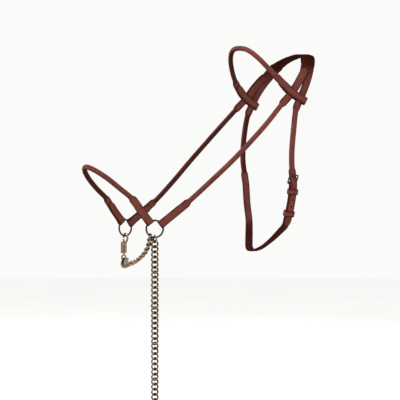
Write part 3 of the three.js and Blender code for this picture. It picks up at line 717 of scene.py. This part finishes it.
# ---- browband: its ends fold round the cheek strap and the throatlash ----
BROW_ROLLED = (0.2 * brow_path.length, 0.8 * brow_path.length)
LOOP_END = 0.125 * brow_path.length
LOOP_START = 1.5  # of the plies, past the fold at the path's first point
LOOP_STEPS = 10


def loop_lift(run):
    return PLY_LIFT + (LOOP_LIFT - PLY_LIFT) * (1 - smooth(run, LOOP_END - 3, LOOP_END + 13))


brow_outer = lay(brow_path, LOOP_START, BROW_ROLLED[0] - SHOULDER, Shape(PLY, lifts=loop_lift), STRAP_PITCH)
inner_end = BROW_ROLLED[0] - SHOULDER - 3
inner_shape = Shape(PLY, lifts=lambda run: -loop_lift(run), tips=((inner_end, TIP_LENGTH),))
brow_inner = lay(brow_path, LOOP_START, inner_end, inner_shape, STRAP_PITCH, turn=-1)
brow_fold = []
fold_face, fold_inward = brow_path.face(LOOP_START), -brow_path.tangent(LOOP_START)
for k in range(1, LOOP_STEPS):
    a = math.pi * k / LOOP_STEPS
    out = fold_face * math.cos(a) + fold_inward * math.sin(a)
    brow_fold.append(Station(brow_path.at(LOOP_START) + out * LOOP_LIFT, out, *FLAT_PLY))
brow_start = list(reversed(brow_inner)) + list(reversed(brow_fold)) + brow_outer
brow_middle = lay(
    brow_path, BROW_ROLLED[0] - SHOULDER + 1.5, BROW_ROLLED[1] + SHOULDER - 1.5,
    Shape(PLY, rolled=BROW_ROLLED, lift=PLY_LIFT), STRAP_PITCH,
)
browband = ribbon(brow_start + brow_middle + list(reversed(flip(brow_start)))).build(
    "browband_leather", leather, "headstall", "brown_leather", ("browband", "browband_core")
)
brow_sewn = [s for s in brow_outer if (s.at - brow_path.at(0)).length > LOOP_END + 6]
brow_rows = stitch_rows(brow_sewn, edge_rows)
stitch_rows(flip(brow_sewn), edge_rows, pile=brow_rows)
stitch_rows(seam_run(brow_path, BROW_ROLLED), seam_row, SEAM_PITCH, brow_rows)
brow_rows.build("browband_stitches", thread, "headstall", parent=browband)

# ---- crown strap: one width over the poll that splits into a front and a rear branch on each side ----
def branch_pair(run):
    return front_path.at(run), neck_path.at(run)


def branches_apart(run):
    front, rear = branch_pair(run)
    return (front - rear).length > STRAP_WIDTH + 0.6


SPLIT_FIRST, SPLIT_LAST = 20, 60
split = next(run for run in range(SPLIT_FIRST, SPLIT_LAST + 1) if branches_apart(run) or run == SPLIT_LAST)
SPLIT_BLEND = 10  # over which the branches come out of the wide length
POLL_X, POLL_WIDTH, CROWN_SHOULDER_Y, CROWN_SHOULDER_WIDTH = -8, 25, -5, 24.5


def shared_face(run):
    return (front_path.face(run) + neck_path.face(run)).normalized()


wide_half = []
for run in steps(split, 0, PLY_PITCH):
    front, rear = branch_pair(run)
    thick = STRAP_THICKNESS - 0.6 * smooth(run, split - SPLIT_BLEND, split)
    width = (rear - front).length + STRAP_WIDTH
    wide_half.append(Station((front + rear) / 2, shared_face(run), width, thick, 0.0, ROLLED))


def poll_station(y, width):
    return Station(Vector((POLL_X, y, -STRAP_THICKNESS / 2)), UP, width, STRAP_THICKNESS, 0.0, ROLLED)


wide_half.append(poll_station(CROWN_SHOULDER_Y, CROWN_SHOULDER_WIDTH))
crown_pile = ribbon(wide_half + [poll_station(0, POLL_WIDTH)] + list(reversed(flip(wide_half))))


BRANCH_THICKNESS = 2.95


def branch(path, end):
    """A branch's stations: it starts with its face along the wide length's."""
    start = split - SPLIT_BLEND
    stations = lay(path, start, end, Shape(BRANCH_THICKNESS), PLY_PITCH)
    runs = steps(start, end, PLY_PITCH)
    return [
        s._replace(out=shared_face(min(run, split)).lerp(s.out, smooth(run, split, split + 14)).normalized())
        for s, run in zip(stations, runs)
    ]


for stations in (branch(front_path, front_path.length), branch(neck_path, rear_end)):
    ribbon(stations, pile=crown_pile)
    ribbon(flip(stations), pile=crown_pile)
# Painted shade over the top of the crown strap, at the poll.
crown_pile.shade(0.92, -66, -14)
crown_pile.build("crown_leather", leather, "headstall", "brown_leather", ("crown_strap",))

# ---- throatlash and the strap under the throat ----
buckle_out = throat_path.face(BUCKLE_RUN)
buckle_along = throat_path.tangent(BUCKLE_RUN)
BAR_DEPTH = 1.9
BAR_RADIUS, BAR_PLY = 2.35, 1.7  # of the middle of the leather round the buckle's bar, and its thickness
BILLET_HOLES, HOLE_RADIUS = (29, 41, 66), 1.6
SLOT_RADIUS, RIM = 1.5, 16
buckle_at = throat_path.at(BUCKLE_RUN) - buckle_out * (STRAP_THICKNESS + PLY_GAP + BAR_DEPTH)
buckle_across = buckle_out.cross(buckle_along)


def at_buckle(x, y, z):
    return buckle_at + buckle_across * x + buckle_out * y + buckle_along * z


def cutter(rim, low, high, spot):
    """A dark prism from low to high, through rim's (across, along) places. spot(x, y, z) gives a point."""
    corners = [place(spot(x, y, z)) for y in (low, high) for x, z in rim]
    return Pile().add(corners, [tuple(reversed(face)) for face in skin(2, RIM)], [1.0] * len(corners))


def slot_cutter(start, end, low, high):
    """A rounded slot through the strap, between two distances from the buckle's bar."""
    rim = []
    for k in range(RIM):
        a = 2 * math.pi * (k + 0.5) / RIM
        z = (end - SLOT_RADIUS if math.sin(a) > 0 else start + SLOT_RADIUS) + SLOT_RADIUS * math.sin(a)
        rim.append((SLOT_RADIUS * math.cos(a), z))
    return cutter(rim, low, high, at_buckle)


def hole_cutter(path, run):
    """A round hole through a strap at a distance along its path."""
    out, along = path.face(run), path.tangent(run)
    across = out.cross(along)
    angles = [2 * math.pi * k / RIM for k in range(RIM)]
    rim = [(HOLE_RADIUS * math.cos(a), HOLE_RADIUS * math.sin(a)) for a in angles]
    return cutter(rim, -2.4, 3.4, lambda x, y, z: path.at(run) + across * x + along * z + out * y)


throat_rolled = (0.09 * throat_path.length, 0.553 * throat_path.length)
throat_shape = Shape(rolled=throat_rolled, round_=THROAT_ROLLED, tips=((throat_path.length, 10),))
throatlash = ribbon(lay(throat_path, 0, throat_path.length, throat_shape, STRAP_PITCH)).build(
    "near_throatlash_leather", leather, "headstall", "brown_leather",
    ("near_throatlash", "near_throatlash_core"),
)
cut(throatlash, slot_cutter(-9.4, -1.8, 1.0, 9.0))
for hole in BILLET_HOLES:
    cut(throatlash, hole_cutter(throat_path, BUCKLE_RUN + hole))
seam = stitch_rows(seam_run(throat_path, throat_rolled, THROAT_ROLLED), seam_row, SEAM_PITCH)
seam.build("near_throatlash_stitches", thread, "headstall", parent=throatlash)

# The strap folds round the buckle's bar and is sewn back on itself.
strap_rolled = (0.043 * strap_path.length, 0.27 * strap_path.length)
strap_shape = Shape(rolled=strap_rolled, round_=THROAT_ROLLED)
strap_stations = lay(strap_path, 0, strap_path.length - 2, strap_shape, PLY_PITCH)
bar = []
for degrees in range(10, 200, 20):
    a = math.radians(degrees)
    out = buckle_out * math.cos(a) - buckle_along * math.sin(a)
    bar.append(Station(buckle_at + out * BAR_RADIUS, out, STRAP_WIDTH, BAR_PLY, 0.0, ROLLED))
# Painted shade under the throat: the lowest part of the strap is darkened.
throat_strap = ribbon(strap_stations + bar).shade(0.8, 282, 312, -1).build(
    "throat_strap_leather", leather, "headstall", "brown_leather", ("throat_strap", "throat_strap_core")
)
cut(throat_strap, slot_cutter(-5, 3.9, -6.0, 7.0))
seam = stitch_rows(seam_run(strap_path, strap_rolled, THROAT_ROLLED), seam_row, SEAM_PITCH)
seam.build("throat_strap_stitches", thread, "headstall", parent=throat_strap)


KEEPER_WIDTH, KEEPER_WALL, KEEPER_POWER, KEEPER_STATIONS = 9.8, 1.8, 7, 48
KEEPER_PLAY = 0.1


def keeper(name, node, share, clearance, body):
    """A band of leather round the billet and the strap under it, a rounded rectangle."""
    run = share * throat_path.length
    out, along = throat_path.face(run), throat_path.tangent(run)
    across = out.cross(along)
    middle = throat_path.at(run) - out * ((STRAP_THICKNESS + PLY_GAP) / 2)
    half_x = STRAP_WIDTH / 2 + clearance + KEEPER_WALL / 2 + KEEPER_PLAY
    half_y = STRAP_THICKNESS + PLY_GAP / 2 + clearance + KEEPER_WALL / 2 + KEEPER_PLAY
    stations = []
    for k in range(KEEPER_STATIONS):
        a = 2 * math.pi * (k + 0.5) / KEEPER_STATIONS
        x, y = signed_power(math.cos(a), 2 / KEEPER_POWER), signed_power(math.sin(a), 2 / KEEPER_POWER)
        face = (across * (x ** KEEPER_POWER / half_x) + out * (y ** KEEPER_POWER / half_y)).normalized()
        at = middle + across * (half_x * x) + out * (half_y * y)
        stations.append(Station(at, face, KEEPER_WIDTH, KEEPER_WALL, 0.0, ROLLED))
    return ribbon(stations, closed=True).build(name, leather, body, "brown_leather", (node,))


keeper("throat_fixed_keeper_leather", "throat_fixed_keeper", 0.727, PLY_GAP, "headstall")
keeper("throat_sliding_keeper_leather", "throat_sliding_keeper", 0.9, 0.7, "throat_sliding_keeper")


# ---- wire work ----
WIRE_SIDES = 14


def tube(centres, crossings, radius, closed=True, hollow=True):
    """A wire through centres. crossings gives each centre's two directions across it, and radius(i) its half
    thickness. With hollow, the tone is 1 on the side opposite the first direction: painted shade with patina."""
    vertices, tones = [], []
    for i, centre in enumerate(centres):
        first, second = crossings[i]
        for k in range(WIRE_SIDES):
            a = 2 * math.pi * k / WIRE_SIDES
            vertices.append(centre + first * (radius(i) * math.cos(a)) + second * (radius(i) * math.sin(a)))
            # Painted shade with patina, darkest on the wire's inner side.
            tones.append((1 - math.cos(a)) / 2 if hollow else 0.0)
    return vertices, skin(len(centres), WIRE_SIDES, closed), tones


def wire_loop(half_x, half_y, wire, count, power=2.0):
    """A closed ring of wire in the XY plane: an ellipse at power 2, a rounded rectangle at a higher one."""
    centres, across = [], []
    for i in range(count):
        a = 2 * math.pi * (i + 0.5) / count
        x, y = signed_power(math.cos(a), 2 / power), signed_power(math.sin(a), 2 / power)
        lean_x, lean_y = signed_power(x, power - 1) / half_x, signed_power(y, power - 1) / half_y
        out = Vector((lean_x, lean_y, 0)).normalized()
        centres.append(Vector((half_x * x, half_y * y, 0)))
        across.append((out, UP))
    vertices, faces, tones = tube(centres, across, lambda i: wire / 2)
    return vertices, [tuple(reversed(face)) for face in faces], tones


def basis(x, y, origin):
    turn = Matrix((x, y, x.cross(y))).transposed()
    return Matrix.Translation(origin) @ turn.to_4x4()


def moved(shape, matrix):
    vertices, faces, tones = shape
    return [place(matrix @ v) for v in vertices], faces, tones


for side, name in ((NEAR, "near"), (OFF, "off")):
    torus = wire_loop(RING_RADIUS, RING_RADIUS, RING_WIRE, 72)
    Pile().add(*moved(torus, basis(ring_across(side), UP, ring_centre(side)))).build(
        f"{name}_ring_wire", steel, f"{name}_ring", "dark_steel", (f"{name}_ring",)
    )

BUCKLE_WIRE, BUCKLE_HALF_WIDTH, BUCKLE_REACH, BUCKLE_TILT = 2.4, 8.8, 16, math.radians(32)
PRONG_WIRE, PRONG_LENGTH, PRONG_TILT, PRONG_EYE = 1.9, 20, math.radians(41.5), 2.45
buckle_frame = basis(buckle_across, buckle_out, buckle_at)
loop = wire_loop(BUCKLE_HALF_WIDTH, BUCKLE_REACH / 2, BUCKLE_WIRE, 72, 6)
stand = (
    buckle_frame
    @ Matrix.Rotation(BUCKLE_TILT, 4, "X")
    @ Matrix.Translation((0, 0, -BUCKLE_REACH / 2))
    @ Matrix.Rotation(math.pi / 2, 4, "X")
)
Pile().add(*moved(loop, stand)).build(
    "throat_buckle_wire", steel, "throat_buckle_frame", "dark_steel", ("throat_buckle_frame",)
)
lean = buckle_frame @ Matrix.Rotation(PRONG_TILT, 4, "X")
eye = wire_loop(PRONG_EYE, PRONG_EYE, PRONG_WIRE, 32)
PIN_STEPS, PIN_TAPER_START = 12, 8


def pin_radius(i):
    """The pin tapers over its last steps and ends in a small round face."""
    taper = 1 - 0.35 * smooth(i, PIN_TAPER_START, PIN_STEPS)
    return (PRONG_WIRE - 0.1) / 2 * taper * (0.45 if i == PIN_STEPS else 1)


pin_step = (PRONG_LENGTH - PRONG_EYE) / PIN_STEPS
pin = tube(
    [Vector((0, 0, -PRONG_EYE - pin_step * i)) for i in range(PIN_STEPS + 1)],
    [(Vector((1, 0, 0)), Vector((0, -1, 0)))] * (PIN_STEPS + 1), pin_radius, closed=False, hollow=False,
)
prong = Pile().add(*moved(eye, lean @ Matrix.Rotation(math.pi / 2, 4, "Y"))).add(*moved(pin, lean))
prong.build("throat_buckle_pin", steel, "throat_buckle_prong", "dark_steel", ("throat_buckle_prong",))


# ---- chain ----
LINK_EASE, LINK_STEPS = 0.06, 28
LINK_PLAY, CHIN_PLAY = 0.3, 0.45  # between an end link's wire and a ring's


def link_shape(twist):
    """A curb link: an oval of wire turned by twist along its length."""
    wire = LINK_WIRE - LINK_EASE
    vertices, faces, tones = wire_loop(LINK_HALF_WIDTH, LINK_HALF_LENGTH, wire, LINK_STEPS, LINK_POWER)
    twisted = []
    for v in vertices:
        share = min(max(v.y / (2 * LINK_HALF_LENGTH), -0.5), 0.5)
        flat = Matrix.Rotation(twist * share, 3, "Y") @ Vector((v.x, 0, v.z))
        twisted.append(Vector((flat.x, v.y, flat.z)))
    return twisted, faces, tones


def add_link(pile, centre, up, bow, twist=LINK_TWIST):
    y = up.normalized()
    x = (bow - y * bow.dot(y)).normalized()
    x = Matrix.Rotation(-twist / 2, 3, y) @ x
    pile.add(*moved(link_shape(twist), basis(x, y, centre)))


lead_top = on_ring(NEAR, -90)
first_drop = LINK_HALF_LENGTH - (RING_WIRE + LINK_WIRE) / 2 - LINK_PLAY
length_drop = (LINKS_PER_LENGTH - 1) * LINK_PITCH + HINGE_PITCH
lead_bow = Matrix.Rotation(-LINK_TWIST / 2, 3, UP) @ ring_face(NEAR)
last_link = LEAD_LENGTHS * LINKS_PER_LENGTH - 1
end_links = {0: (ring_face(NEAR), -LINK_TWIST / 2), last_link: (lead_bow, LINK_TWIST / 2)}
for length in range(LEAD_LENGTHS):
    links = Pile()
    for i in range(LINKS_PER_LENGTH):
        drop = first_drop + length * length_drop + i * LINK_PITCH
        bow, twist = end_links.get(length * LINKS_PER_LENGTH + i, (lead_bow, LINK_TWIST))
        add_link(links, lead_top - UP * drop, UP, bow, twist)
    name = f"lead_chain_{length + 1}"
    links.build(f"lead_links_{length + 1}", brass, name, "aged_brass", (name,))
last_drop = first_drop + LEAD_LENGTHS * length_drop - HINGE_PITCH
end_top = last_drop + LINK_HALF_LENGTH - (LINK_WIRE + END_RING_WIRE) / 2 - LINK_PLAY
end_ring = wire_loop(END_RING_RADIUS, END_RING_RADIUS, END_RING_WIRE, 64)
end_centre = lead_top - UP * (end_top + END_RING_RADIUS)
Pile().add(*moved(end_ring, basis(ring_face(NEAR), UP, end_centre))).build(
    "lead_end_wire", brass, "lead_end_ring", "aged_brass", ("lead_end_ring",)
)

snap_at = on_ring(OFF, -90)
EYE_LINK = math.radians(215)
eye_x = SNAP_BARREL_X + SNAP_EYE_RADIUS * math.cos(EYE_LINK)
eye_z = SNAP_EYE_Z + SNAP_EYE_RADIUS * math.sin(EYE_LINK)
CHIN_MIDDLE = Vector((-335, 0, -318))  # the chin chain curves round it
chin_route = StrapPath(
    [on_ring(NEAR, CHIN_ANGLE), (-334, -54, -336), (-337, -44, -350), (-342, -26, -362), (-346, -4, -369),
     (-343, 18, -372), (-335, 42, -370), snap_at + ring_face(OFF) * eye_x + UP * eye_z]
)
chin_end = LINK_HALF_LENGTH - (RING_WIRE + LINK_WIRE) / 2 - CHIN_PLAY
chin_count = round((chin_route.length - 2 * chin_end) / LINK_PITCH) + 1
chin_pitch = (chin_route.length - 2 * chin_end) / (chin_count - 1)
chin_links = Pile()
for i in range(chin_count):
    run = chin_end + i * chin_pitch
    back = -chin_route.tangent(run)
    bow = (chin_route.at(run) - CHIN_MIDDLE).cross(back).cross(back)
    add_link(chin_links, chin_route.at(run), back, bow)
chin_links.build("chin_links", brass, "chin_chain", "aged_brass", ("chin_chain",))

# ---- the snap's spring ----
SPRING_RADIUS, SPRING_WIRE, SPRING_TURNS, SPRING_STEPS = 2, 0.64, 4, 96
SPRING_BOTTOM, SPRING_TOP = -26.6, -19.5
snap_axis = basis(ring_face(OFF), UP.cross(ring_face(OFF)), snap_at + ring_face(OFF) * SNAP_BARREL_X)
coil, coil_sides = [], []
for i in range(SPRING_STEPS + 1):
    turn = math.tau * SPRING_TURNS * i / SPRING_STEPS
    radial = Vector((math.cos(turn), math.sin(turn), 0))
    rise = (SPRING_TOP - SPRING_BOTTOM) / (math.tau * SPRING_TURNS)
    along = Vector((-SPRING_RADIUS * radial.y, SPRING_RADIUS * radial.x, rise)).normalized()
    coil.append(radial * SPRING_RADIUS + UP * (SPRING_BOTTOM + rise * turn))
    coil_sides.append((radial, along.cross(radial)))
spring = tube(coil, coil_sides, lambda i: SPRING_WIRE / 2, closed=False, hollow=False)
spring_ends = [place(snap_axis @ (UP * z)) for z in (SPRING_BOTTOM, SPRING_TOP)]
Pile().add(*moved(spring, snap_axis)).build(
    "snap_coil", steel, ("snap_body", "snap_bolt", *spring_ends), "dark_steel", ("snap_spring",)
)

# ---- the rest of the snap keeps its CAD solids, with rounded edges ----
for node in ("snap_body", "snap_bolt", "snap_swivel"):
    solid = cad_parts[node]
    solid.data.materials.clear()
    solid.data.materials.append(brass)
    solid.data.polygons.foreach_set("use_smooth", [True] * len(solid.data.polygons))
    soften = solid.modifiers.new("soften", "BEVEL")
    soften.width, soften.segments, soften.limit_method = 0.0003, 2, "ANGLE"
    soften.angle_limit = math.radians(38)
    soften.harden_normals = True

# ---- floor and light ----
FLOOR_RADIUS, FLOOR_DROP, FLOOR_SIDES = 6.0, 0.02, 96
floor_z = min(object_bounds()[0].z, cad_box[0][2]) - FLOOR_DROP
floor_rim = []
for k in range(FLOOR_SIDES):
    a = math.tau * k / FLOOR_SIDES
    floor_rim.append((target.x + math.cos(a) * FLOOR_RADIUS, target.y + math.sin(a) * FLOOR_RADIUS, floor_z))
floor_mesh = bpy.data.meshes.new("floor")
floor_mesh.from_pydata(floor_rim, [], [tuple(range(FLOOR_SIDES))])
floor = bpy.data.objects.new("floor", floor_mesh)
bpy.context.scene.collection.objects.link(floor)
paper = Look("pale_paper", roughness=0.9)
paper_cloud = paper.ramp(paper.noise(3), (0.3, 0.0), (0.7, 1.0))
paper_tone = paper.mix(paper_cloud, (0.93, 0.93, 0.92), (0.96, 0.96, 0.95))
paper.link(paper_tone, paper.shader.inputs["Base Color"])
floor_mesh.materials.append(paper.material)

world = bpy.data.worlds.new("studio")
bpy.context.scene.world = world
world.use_nodes = True
sky = world.node_tree.nodes["Background"]
sky.inputs["Color"].default_value = (1.0, 1.0, 0.99, 1)
sky.inputs["Strength"].default_value = 0.96

middle = place((-165, 0, -220))
right = Vector((-camera_back.y, camera_back.x, 0))


def softbox(name, offset, size, energy):
    data = bpy.data.lights.new(name, "AREA")
    data.size, data.energy = size, energy
    lamp = bpy.data.objects.new(name, data)
    bpy.context.scene.collection.objects.link(lamp)
    lamp.location = middle + offset
    lamp.rotation_mode = "QUATERNION"
    lamp.rotation_quaternion = (-offset).to_track_quat("-Z", "Y")


softbox("key", camera_back * 1.3 - right * 1.0 + UP * 1.9, 1.1, 36)
softbox("fill", camera_back * 1.4 + right * 1.7 + UP * 0.4, 1.6, 5)
softbox("rim", -camera_back * 1.8 + right * 0.6 + UP * 1.4, 1.4, 16)
bpy.context.scene.view_settings.view_transform = "Standard"
